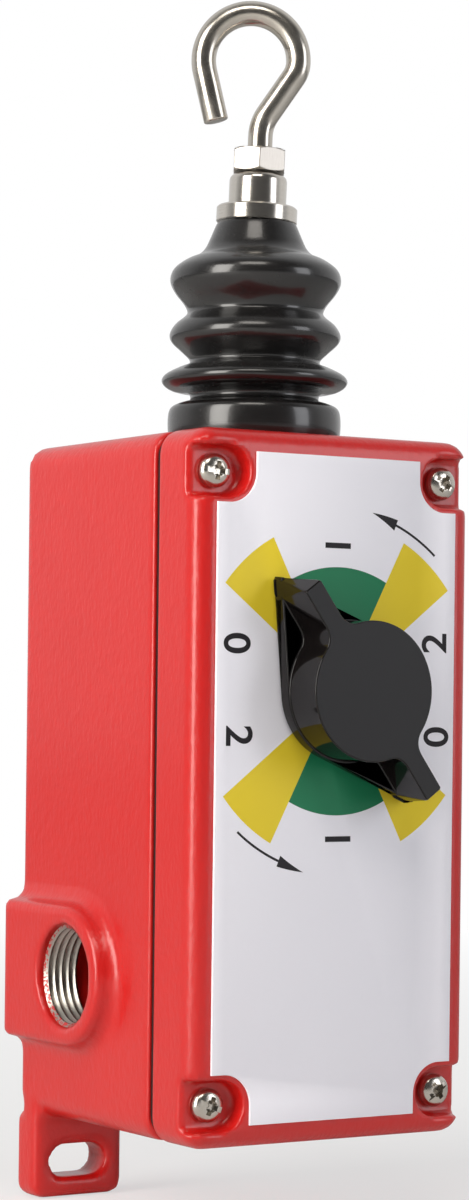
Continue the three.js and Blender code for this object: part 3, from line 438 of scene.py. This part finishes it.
for number, (across, height, angle) in screw_spots.items():
    screw = bmesh.new()
    turned_down(screw, [
        (0, -shank_length), (shank_radius, -shank_length), (shank_radius, 0),
        *[(out * head_radius, up * head_height) for out, up in head_profile],
    ], head_steps)
    top = Matrix.Translation((0, 0, head_height))
    for size, depth, turn in cross_cuts:
        tool = bmesh.new()
        turned = Matrix.Rotation(math.radians(turn), 4, "Z") @ Matrix.Diagonal((*size, 2 * depth, 1))
        bmesh.ops.create_cube(tool, size=1, matrix=top @ turned)
        screw = carved(screw, tool)
    middle = bmesh.new()
    sunk = Matrix.Translation((0, 0, middle_length / 2 - middle_depth))
    bmesh.ops.create_cone(middle, cap_ends=True, segments=16, radius1=middle_low, radius2=middle_high,
                          depth=middle_length, matrix=top @ sunk)
    screw = carved(screw, middle)
    forward_turn = Matrix.Rotation(math.radians(90), 4, "X") @ Matrix.Rotation(math.radians(-angle), 4, "Z")
    seat = Matrix.Translation((across * MM, recess_floor, height * MM)) @ forward_turn
    bmesh.ops.transform(screw, matrix=seat, verts=screw.verts)
    made(screw, f"lid_screw_head_{number}", "housing", stainless, [f"lid_screw_{number}"])


# Dial plate: a thin white plastic plate glued over the lid's front and cut away round each screw. Its
# dial is screen printed: green where the rope is set, yellow to either side, and two reset arrows.
dial_centre = 18 * MM
green_reach = 23.1 * MM
yellow_reach = 31.7 * MM
green_half = math.radians(27.5)
yellow_end = math.radians(52.15)
arrow_radius = 33.9 * MM
arrow_half = 0.23 * MM
arrow_tail = math.radians(40.1)
arrow_neck = math.radians(22.2)
arrow_tip = math.radians(12.3)
arrow_head_half = 1.08 * MM
arrow_lift = 0.45 * MM
ink = (0.02, 0.018, 0.022, 1)
plate_white = Finish("printed_plate", roughness=0.4, specular_ior_level=0.15)
right = plate_white.add("ShaderNodeSeparateXYZ", values={0: plate_white.place()}, output="X")
over = plate_white.add("ShaderNodeSeparateXYZ", values={0: plate_white.place()}, output="Z") - dial_centre
from_top = right.math("ARCTAN2", abs(right), abs(over))
reach = (right * right + over * over) ** 0.5
green = (from_top < green_half) * (reach < green_reach)
yellow = (from_top > green_half) * (from_top < yellow_end) * (reach < yellow_reach)
same_side = (right * over) > 0
stroke = (abs(reach - arrow_radius) < arrow_half) * (from_top > arrow_neck) * (from_top < arrow_tail)
along_head = (from_top - arrow_tip) / (arrow_neck - arrow_tip)
head_line = arrow_radius + (1 - along_head) * arrow_lift
head = (abs(reach - head_line) < along_head * arrow_head_half) * (from_top > arrow_tip)
dark = (stroke + head * (from_top < arrow_neck)) * same_side
cast = plate_white.noise(30 * MM, 1)
white = plate_white.mixed(cast, (0.84, 0.835, 0.905, 1), (0.88, 0.875, 0.94, 1))
greened = plate_white.mixed(green, white, (0.014, 0.19, 0.085, 1))
yellowed = plate_white.mixed(yellow, greened, (0.78, 0.60, 0.034, 1))
plate_white.put("Base Color", plate_white.mixed(dark, yellowed, ink))
plate_white.bumps(plate_white.noise(0.5 * MM, 1), 0.01 * MM, 0.35)


class Pen:
    """Draws one closed outline of edges in the front plane, seen from the front."""

    def __init__(self, shape, across, height):
        self.shape = shape
        self.first = self.tip = shape.verts.new((across, 0, height))

    def line(self, across, height):
        following = self.shape.verts.new((across, 0, height))
        self.shape.edges.new((self.tip, following))
        self.tip = following

    def arc(self, across, height, angle, steps):
        swept = bmesh.ops.spin(self.shape, geom=[self.tip], cent=(across, 0, height), axis=(0, -1, 0),
                               angle=angle, steps=steps)
        self.tip = next(part for part in swept["geom_last"] if isinstance(part, bmesh.types.BMVert))

    def solid(self, back, front):
        if (self.tip.co - self.first.co).length > same_point:
            self.shape.edges.new((self.tip, self.first))
        bmesh.ops.remove_doubles(self.shape, verts=self.shape.verts, dist=same_point)
        face = bmesh.ops.contextual_create(self.shape, geom=list(self.shape.edges))["faces"]
        bmesh.ops.translate(self.shape, verts=self.shape.verts, vec=(0, back, 0))
        grown = bmesh.ops.extrude_face_region(self.shape, geom=face, use_keep_orig=True)["geom"]
        corners = [part for part in grown if isinstance(part, bmesh.types.BMVert)]
        bmesh.ops.translate(self.shape, verts=corners, vec=(0, front - back, 0))
        bmesh.ops.recalc_face_normals(self.shape, faces=self.shape.faces)


plate_back = -64.5 * MM
plate_front = -65.0 * MM
plate_half = 26.7 * MM
plate_tall = 61.7 * MM
plate_edge = 0.12 * MM
notch_centre = (24.1 * MM, 58 * MM)
notch_radius = 5.8 * MM
notch_in = notch_centre[0] - notch_radius
notch_low = notch_centre[1] - notch_radius
quarter = math.pi / 2
plate = bmesh.new()
pen = Pen(plate, plate_half, -notch_low)
for side in (1, -1):
    pen.line(side * plate_half, side * notch_low)
    pen.line(side * notch_centre[0], side * notch_low)
    pen.arc(side * notch_centre[0], side * notch_centre[1], -quarter, 16)
    pen.line(side * notch_in, side * plate_tall)
    pen.line(-side * notch_in, side * plate_tall)
    pen.line(-side * notch_in, side * notch_centre[1])
    pen.arc(-side * notch_centre[0], side * notch_centre[1], -quarter, 16)
    pen.line(-side * plate_half, side * notch_low)
pen.solid(plate_back, plate_front)
rim = [edge for edge in plate.edges
       if all(abs(end.co.y - plate_front) < same_point for end in edge.verts)]
bmesh.ops.bevel(plate, geom=rim, offset=plate_edge, segments=2, affect="EDGES", profile=0.5, material=-1)
made(plate, "dial_plate", "housing", plate_white, ["front_label"], crease=50)


# Dial numbers: 0 for a slack rope, 1 for a set one and 2 for a pulled one, printed like the arrows.
# They read upwards over the knob and downwards under it.
number_height = 5.6 * MM
figure_share = 0.7
ink_thickness = 0.01 * MM
stroke_growth = 0.12 * MM
print_lift = 0.012 * MM
number_ink = Finish("printing_ink", roughness=0.5, specular_ior_level=0.15, base_color=ink)
number_ink.bumps(number_ink.noise(0.3 * MM), 0.005 * MM, 0.3)
number_spots = [
    ("1", 0, 45.1, 90), ("0", -22, 26.5, 90), ("2", 22.3, 27.4, 90),
    ("1", 0, -9.5, -90), ("2", -22, 9.6, -90), ("0", 22.3, 9.6, -90),
]
for count, (figure, across, height, turn) in enumerate(number_spots, 1):
    words = bpy.data.curves.new(f"dial_number_{count}", "FONT")
    words.body = figure
    words.size = number_height / figure_share
    words.align_x = "CENTER"
    words.align_y = "CENTER"
    words.extrude = ink_thickness
    words.offset = stroke_growth
    text = bpy.data.objects.new("figure", words)
    bpy.context.scene.collection.objects.link(text)
    bpy.context.view_layer.update()
    drawn = bpy.data.meshes.new_from_object(text)
    bpy.data.objects.remove(text)
    print_shape = bmesh.new()
    print_shape.from_mesh(drawn)
    bmesh.ops.remove_doubles(print_shape, verts=print_shape.verts, dist=1e-8)
    seat = Matrix.Translation((across * MM, plate_front - print_lift, height * MM))
    facing = Matrix.Rotation(math.radians(90), 4, "X") @ Matrix.Rotation(math.radians(turn), 4, "Z")
    bmesh.ops.transform(print_shape, matrix=seat @ facing, verts=print_shape.verts)
    made(print_shape, f"dial_number_{count}", "housing", number_ink)


# Knob: one black moulding. A thin skirt runs out to two points, and on it stands a round grip with two
# straight fins. Its sides are polished and its top is satin.
knob_back = -65.6 * MM
skirt_front = -68.4 * MM
knob_front = -77 * MM
grip_radius = 13 * MM
skirt_radius = 13.15 * MM
point_reach = 25.6 * MM
fin_half = 2 * MM
fin_top_reach = 23.4 * MM
fillet = 3.5 * MM
grip_sunk = 0.5 * MM
spindle_hole = 4.3 * MM
hole_depth = 10 * MM
hole_middle = -68.7 * MM
knob_edge = 0.32 * MM
rest_angle = math.radians(36)
skirt = bmesh.new()
half_point = math.asin(skirt_radius / point_reach)
pen = Pen(skirt, 0, point_reach)
for up in (1, -1):
    pen.line(-up * skirt_radius * math.cos(half_point), up * skirt_radius * math.sin(half_point))
    pen.arc(0, 0, 2 * half_point, 36)
    pen.line(0, -up * point_reach)
pen.solid(knob_back, skirt_front)

grip = bmesh.new()
fillet_across = fin_half + fillet
fillet_height = math.sqrt((grip_radius + fillet) ** 2 - fillet_across ** 2)
fillet_angle = math.atan2(fillet_height, fillet_across)
pen = Pen(grip, fin_half, point_reach)
for up in (1, -1):
    pen.line(-up * fin_half, up * point_reach)
    pen.line(-up * fin_half, up * fillet_height)
    pen.arc(-up * fillet_across, up * fillet_height, -fillet_angle, 9)
    pen.arc(0, 0, 2 * fillet_angle, 40)
    pen.arc(-up * fillet_across, -up * fillet_height, -fillet_angle, 9)
    pen.line(-up * fin_half, -up * point_reach)
pen.solid(knob_back - grip_sunk, knob_front)
for up in (1, -1):
    tip = Vector((0, knob_back, up * point_reach))
    base = point_reach - fin_half / math.tan(half_point)
    tops = [Vector((side * fin_half, knob_front, up * fin_top_reach)) for side in (-1, 1)]
    bases = [Vector((side * fin_half, knob_back, up * base)) for side in (-1, 1)]
    for first, second in ((tops[0], tops[1]), (tops[0], bases[0]), (tops[1], bases[1])):
        facing = (first - tip).cross(second - tip).normalized()
        if facing.dot(Vector((0, (knob_back + knob_front) / 2, 0)) - tip) > 0:
            facing.negate()
        cut = bmesh.ops.bisect_plane(grip, geom=[*grip.verts, *grip.edges, *grip.faces], plane_co=tip,
                                     plane_no=facing, clear_outer=True)
        rim = [part for part in cut["geom_cut"] if isinstance(part, bmesh.types.BMEdge)]
        bmesh.ops.holes_fill(grip, edges=rim, sides=0)
bmesh.ops.recalc_face_normals(grip, faces=grip.faces)
knob = carved(skirt, grip, "UNION")
bore = bmesh.new()
forward_hole = Matrix.Translation((0, hole_middle, 0)) @ Matrix.Rotation(math.pi / 2, 4, "X")
bmesh.ops.create_cone(bore, cap_ends=True, segments=32, radius1=spindle_hole, radius2=spindle_hole,
                      depth=hole_depth, matrix=forward_hole)
knob = carved(knob, bore)
seat = Matrix.Translation((0, 0, dial_centre)) @ Matrix.Rotation(-rest_angle, 4, "Y")
bmesh.ops.transform(knob, matrix=seat, verts=knob.verts)
polished_black = Finish("polished_black", specular_ior_level=0.3)
facing_front = polished_black.add("ShaderNodeSeparateXYZ", values={
    0: polished_black.add("ShaderNodeNewGeometry", output="Normal")}, output="Y")
on_top = facing_front < -0.9
satin = polished_black.noise(0.25 * MM, 2)
polished_black.put("Base Color", polished_black.mixed(
    on_top, (0.006, 0.005, 0.005, 1), (0.013, 0.0125, 0.014, 1)))
polished_black.put("Roughness", 0.1 + on_top * 0.38)
polished_black.bumps(satin * on_top, 0.02 * MM, 0.5)
made(knob, "knob_moulding", "knob", polished_black, ["knob"], knob_edge, crease=25)


# Bellows: a glossy black rubber moulding with a foot cuff, three folds and a neck. The cuff is pushed over
# the guide bush and the neck is clamped under the ferrule.
rod_axis = -35 * MM
bellows_foot = 66.3 * MM
bellows_top = 108.6 * MM
rubber_wall = 2 * MM
neck_bore = 4.35 * MM
neck_depth = 4.5 * MM
foot_bore = 12.3 * MM
bellows_steps = 96
bellows_line = [
    (16.2, 66.3), (16.75, 68.2), (16.75, 71.2), (16.2, 72.8), (14.6, 73.6), (12.8, 74.1), (12.5, 75.0),
    (13.3, 75.9), (16.4, 76.4), (18.0, 77.7), (17.5, 79.1), (14.9, 80.5), (12.9, 81.3), (12.8, 82.3),
    (14.4, 83.9), (16.2, 85.6), (16.6, 87.1), (15.6, 88.9), (13.8, 90.4), (13.2, 91.4), (13.9, 93.0),
    (15.7, 95.3), (16.6, 97.4), (16.0, 99.6), (13.7, 101.4), (11.2, 102.5), (9.9, 103.8), (9.1, 105.4),
    (8.0, 108.0), (7.7, 108.6),
]


def smooth_line(points, steps):
    """A Catmull-Rom line through (radius, height) points."""
    ends = [points[0], *points, points[-1]]
    line = []
    for index in range(len(points) - 1):
        before, start, end, after = (Vector(point) for point in ends[index:index + 4])
        for step in range(steps):
            share = step / steps
            line.append(0.5 * (
                2 * start + (end - before) * share + (2 * before - 5 * start + 4 * end - after) * share ** 2
                + (3 * start - before - 3 * end + after) * share ** 3))
    return [*line, Vector(points[-1])]


outer = [point * MM for point in smooth_line(bellows_line, 4)]
inner_top = bellows_top - neck_depth - 0.5 * MM
inner = []
for before, point, after in zip(outer[1:], outer[2:], outer[3:]):
    slope = (after - before).normalized()
    radius = max(neck_bore, point.x - rubber_wall * slope.y)
    inner.append((radius, min(point.y + 0.5 * rubber_wall * slope.x, inner_top)))
inner = [point for point in inner[::-3] if point[1] > bellows_foot + 0.5 * MM]
bellows = bmesh.new()
turned_down(bellows, [
    *[tuple(point) for point in outer], (neck_bore, bellows_top), (neck_bore, bellows_top - neck_depth),
    *inner, (foot_bore, bellows_foot), tuple(outer[0]),
], bellows_steps)
bmesh.ops.translate(bellows, verts=bellows.verts, vec=(0, rod_axis, 0))
glossy_rubber = Finish("glossy_rubber", coat_weight=0.4, coat_roughness=0.08)
bloom = glossy_rubber.noise(9 * MM, 3)
dust = glossy_rubber.noise(0.4 * MM, 1) > 0.74
glossy_rubber.put("Base Color", glossy_rubber.mixed(
    bloom, (0.006, 0.006, 0.006, 1), (0.013, 0.012, 0.012, 1)))
glossy_rubber.put("Roughness", 0.2 + bloom * 0.12 + dust * 0.2)
glossy_rubber.bumps(glossy_rubber.noise(2.2 * MM, 2), 0.05 * MM, 0.3)
boot = made(bellows, "bellows", None, glossy_rubber, ["boot"], crease=60)
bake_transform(boot)


# Ferrule, lock nut and hook: bright stainless. The ferrule screws on the rod's stud over the bellows, and
# the nut locks the bent wire hook in it. The group leans 2 degrees.
ferrule_base = 108.9 * MM
turning_steps = 64
hook_facing = math.radians(-32)
hook_lean = math.radians(2)
hook_seat = (
    Matrix.Translation((0, rod_axis, ferrule_base))
    @ Matrix.Rotation(hook_facing, 4, "Z")
    @ Matrix.Rotation(hook_lean, 4, "Y")
)
turned_steel = Finish("turned_stainless", metallic=1.0)
lathe_marks = turned_steel.noise(0.8 * MM, 2, (0.2, 0.2, 6))
turned_steel.put("Base Color", turned_steel.mixed(lathe_marks, (0.56, 0.52, 0.47, 1), (0.66, 0.63, 0.58, 1)))
turned_steel.put("Roughness", 0.14 + lathe_marks * 0.1)
turned_steel.bumps(lathe_marks, 0.004 * MM, 0.5)
ferrule = bmesh.new()
turned_down(ferrule, [(radius * MM, height * MM) for radius, height in [
    (3.1, 0), (7.7, 0), (7.85, 0.15), (7.85, 2.75), (7.5, 3.1), (5.75, 3.12), (5.6, 3.3), (5.6, 8.1),
    (5.45, 8.7), (5.0, 9.2), (4.6, 9.4), (2.7, 9.4), (2.7, 3.1), (3.1, 3.1), (3.1, 0),
]], turning_steps)
bmesh.ops.transform(ferrule, matrix=hook_seat, verts=ferrule.verts)
made(ferrule, "ferrule_turning", "rod", turned_steel, ["ferrule"], crease=28)

nut_flats = 9.8 * MM
nut_height = 4.5 * MM
nut_base = 9.7 * MM
nut_corner = nut_flats / math.sqrt(3)
nut_bore = 2.65 * MM
crown_in = nut_corner - 0.7 * MM
crown_out = nut_corner + 0.02 * MM
crown_rise = 0.45 * MM
nut_edge = 0.15 * MM
nut = bmesh.new()
bmesh.ops.create_cone(nut, cap_ends=True, segments=6, radius1=nut_corner, radius2=nut_corner,
                      depth=nut_height, matrix=Matrix.Translation((0, 0, nut_height / 2)))
crown = bmesh.new()
turned_down(crown, [
    (0, 0), (crown_in, 0), (crown_out, crown_rise), (crown_out, nut_height - crown_rise),
    (crown_in, nut_height), (0, nut_height),
], turning_steps)
nut = carved(nut, crown, "INTERSECT")
nut_hole = bmesh.new()
bmesh.ops.create_cone(nut_hole, cap_ends=True, segments=32, radius1=nut_bore, radius2=nut_bore,
                      depth=3 * nut_height)
nut = carved(nut, nut_hole)
bmesh.ops.translate(nut, verts=nut.verts, vec=(0, 0, nut_base))
bmesh.ops.transform(nut, matrix=hook_seat, verts=nut.verts)
brushed_steel = Finish("brushed_stainless", metallic=1.0)
strokes = brushed_steel.noise(0.3 * MM, 3, (1, 1, 0.15))
brushed_steel.put("Base Color", brushed_steel.mixed(strokes, (0.42, 0.39, 0.35, 1), (0.54, 0.51, 0.47, 1)))
brushed_steel.put("Roughness", 0.3 + strokes * 0.12)
brushed_steel.bumps(strokes, 0.01 * MM, 0.6)
made(nut, "lock_nut_hexagon", "rod", brushed_steel, ["lock_nut"], nut_edge, crease=22)

wire_radius = 2.4 * MM
wire_steps = 28
bend_steps = 10
loop_steps = 56
bend_radius = 8 * MM
bend_angle = math.radians(32)
shank_top = 17 * MM
wire_low = 3.4 * MM
tight_radius = 5.4 * MM
loop_radius = 9.2 * MM
loop_centre = Vector((-2.5 * MM, 0, 31.5 * MM))
tip_angle = math.radians(15.4)
tip_length = 10 * MM
wire_edge = 0.35 * MM
sharp_corner = math.radians(50)
tight_centre = loop_centre + Vector((loop_radius - tight_radius, 0, 0))
bend_centre = Vector((bend_radius, 0, shank_top))
bend_end = bend_centre + bend_radius * Vector((-math.cos(bend_angle), 0, math.sin(bend_angle)))
tight_start = tight_centre + tight_radius * Vector((math.cos(bend_angle), 0, -math.sin(bend_angle)))


class Bar:
    """A round bar that grows from its lower end, straight on or round a bend."""

    def __init__(self, shape, radius, steps, low):
        self.shape = shape
        bmesh.ops.create_circle(shape, segments=steps, radius=radius, matrix=Matrix.Translation((0, 0, low)))
        self.end = list(shape.edges)

    def straight(self, step):
        grown = bmesh.ops.extrude_edge_only(self.shape, edges=self.end)["geom"]
        self.end = [part for part in grown if isinstance(part, bmesh.types.BMEdge)]
        corners = [part for part in grown if isinstance(part, bmesh.types.BMVert)]
        bmesh.ops.translate(self.shape, verts=corners, vec=step)

    def bend(self, centre, angle, steps):
        corners = {corner for edge in self.end for corner in edge.verts}
        swept = bmesh.ops.spin(self.shape, geom=[*corners, *self.end], cent=centre, axis=(0, 1, 0),
                               angle=angle, steps=steps)["geom_last"]
        self.end = [part for part in swept if isinstance(part, bmesh.types.BMEdge)]


wire = bmesh.new()
bar = Bar(wire, wire_radius, wire_steps, wire_low)
bar.straight((0, 0, shank_top - wire_low))
bar.bend(bend_centre, bend_angle, bend_steps)
bar.straight(tight_start - bend_end)
bar.bend(tight_centre, -bend_angle, bend_steps)
bar.bend(loop_centre, -(math.pi + tip_angle), loop_steps)
bar.straight(tip_length * Vector((math.sin(tip_angle), 0, -math.cos(tip_angle))))
bmesh.ops.holes_fill(wire, edges=[edge for edge in wire.edges if edge.is_boundary], sides=0)
bmesh.ops.recalc_face_normals(wire, faces=wire.faces)
bmesh.ops.transform(wire, matrix=hook_seat, verts=wire.verts)
rims = [edge for edge in wire.edges if edge.calc_face_angle() > sharp_corner]
bmesh.ops.bevel(wire, geom=rims, offset=wire_edge, segments=3, affect="EDGES", profile=0.5, material=-1)
made(wire, "rope_hook", "rod", stainless, ["hook"])


# Return spring: stainless wire wound in seven turns between the rod's washer and the bracket's seat.
seat_height = -6.3 * MM
washer_height = -44 * MM
coil_radius = 6.3 * MM
coil_wire = 0.8 * MM
coil_low = washer_height + coil_wire
coil_high = seat_height - coil_wire
coil_turns = 7
coil_steps = 28 * coil_turns
coil = bmesh.new()
upright_section = Matrix.Rotation(math.pi / 2, 4, "X")
bmesh.ops.create_circle(coil, segments=12, radius=coil_wire, matrix=(
    Matrix.Translation((coil_radius, rod_axis, coil_low)) @ upright_section))
bmesh.ops.contextual_create(coil, geom=coil.edges[:])
bmesh.ops.spin(coil, geom=[*coil.verts, *coil.edges], cent=(0, rod_axis, 0), axis=(0, 0, 1),
               angle=2 * math.pi * coil_turns, steps=coil_steps,
               dvec=(0, 0, (coil_high - coil_low) / coil_steps))
bmesh.ops.holes_fill(coil, edges=[edge for edge in coil.edges if edge.is_boundary], sides=0)
bmesh.ops.recalc_face_normals(coil, faces=coil.faces)
spring = made(coil, "return_coil", "housing", stainless, ["return_spring"])
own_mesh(spring)


# Rod, spindle and pin: bright drawn stainless bar, turned to length. The rod slides in the guide bush, and
# the spindle turns in the lid's bush and the bracket.
carried(turned_steel, "pull_rod", "rack_pin", "spindle")


# Bracket, gears and fasteners inside the box: steel sheet and cut teeth, zinc plated, so they are a
# little blue and cloudy.
zinc_plate = Finish("zinc_plate", metallic=1.0)
cloud = zinc_plate.noise(4 * MM, 3)
zinc_plate.put("Base Color", zinc_plate.mixed(cloud, (0.50, 0.52, 0.54, 1), (0.62, 0.63, 0.64, 1)))
zinc_plate.put("Roughness", 0.28 + cloud * 0.18)
zinc_plate.bumps(zinc_plate.noise(0.4 * MM), 0.01 * MM, 0.4)
carried(
    zinc_plate, "bracket", "pinion", "rack", "guide_nut", "spring_washer", "stop_nut",
    *[f"bracket_screw_{number}" for number in range(1, 5)],
    *[f"block_screw_{side}_{number}" for side in ("left", "right") for number in (1, 2)],
)


# Bushes and terminals: turned brass, slightly tarnished. The bushes are pressed or screwed in the castings,
# and the terminals and the earth screw clamp the wires.
turned_brass = Finish("turned_brass", metallic=1.0)
tarnish = turned_brass.noise(3 * MM, 3)
turned_brass.put("Base Color", turned_brass.mixed(tarnish, (0.60, 0.42, 0.16, 1), (0.70, 0.53, 0.24, 1)))
turned_brass.put("Roughness", 0.22 + tarnish * 0.16)
turned_brass.bumps(turned_brass.noise(0.3 * MM), 0.008 * MM, 0.4)
carried(
    turned_brass, "spindle_bush", "guide_bush", "earth_screw",
    *[f"terminal_{side}_{number}" for side in ("left", "right") for number in range(1, 5)],
)


# Contact blocks, cams and plungers: moulded plastic in black, grey and white. The cams turn with the
# spindle and push the plungers into the blocks.
def moulded(name, first, second):
    plastic = Finish(name, roughness=0.48)
    shade = plastic.noise(5 * MM, 2)
    plastic.put("Base Color", plastic.mixed(shade, first, second))
    plastic.bumps(plastic.noise(0.25 * MM), 0.012 * MM, 0.4)
    return plastic


black_moulding = moulded("black_moulding", (0.018, 0.018, 0.018, 1), (0.03, 0.03, 0.03, 1))
grey_moulding = moulded("grey_moulding", (0.22, 0.23, 0.25, 1), (0.28, 0.29, 0.31, 1))
white_moulding = moulded("white_moulding", (0.62, 0.62, 0.60, 1), (0.70, 0.70, 0.68, 1))
carried(black_moulding, "contact_block_left", "contact_block_right")
carried(grey_moulding, "cam_back", "cam_front")
carried(white_moulding, "plunger_left", "plunger_right")
